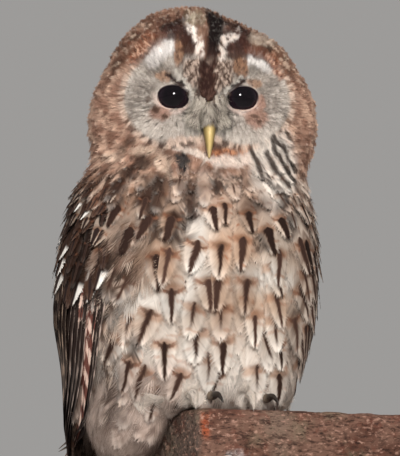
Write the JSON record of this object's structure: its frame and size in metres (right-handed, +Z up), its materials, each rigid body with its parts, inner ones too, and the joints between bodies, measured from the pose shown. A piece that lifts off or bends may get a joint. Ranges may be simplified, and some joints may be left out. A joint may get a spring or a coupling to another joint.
{
  "type": "tawny owl",
  "caption": "Life-size still museum model of a perched tawny owl gripping a short cut timber on a plain two-rod display stand.",
  "frame": {"origin": "on the underside of the stand's base, straight below the middle of the owl's trunk", "axes": "+Z up; the owl's breast faces -Y and its right side is -X; the timber runs along X; the head is turned 23 degrees to the owl's right"},
  "size_m": [0.24, 0.2, 0.4041],
  "materials": {
    "plumage": "soft feathers, streaked",
    "wing_plumage": "barred flight feathers",
    "toe_plumage": "short downy feathers",
    "eye": "wet gloss",
    "bill": "smooth horn",
    "claw": "smooth dark horn",
    "timber": "rough sawn, weathered",
    "stand": "satin dark paint"
  },
  "bodies": {
    "root": {"head": "plumage", "neck": "plumage", "trunk": "plumage", "leg_right": "plumage", "leg_left": "plumage", "wing_right": "wing_plumage", "wing_left": "wing_plumage", "tail": "wing_plumage", "eye_right": "eye", "eye_left": "eye", "bill": "bill", "foot_right": "toe_plumage", "foot_left": "toe_plumage", "claw_right_1": "claw", "claw_right_2": "claw", "claw_right_3": "claw", "claw_right_4": "claw", "claw_left_1": "claw", "claw_left_2": "claw", "claw_left_3": "claw", "claw_left_4": "claw", "perch_timber": "timber", "stand_base": "stand", "stand_rod_right": "stand", "stand_rod_left": "stand"}
  },
  "joints": []
}
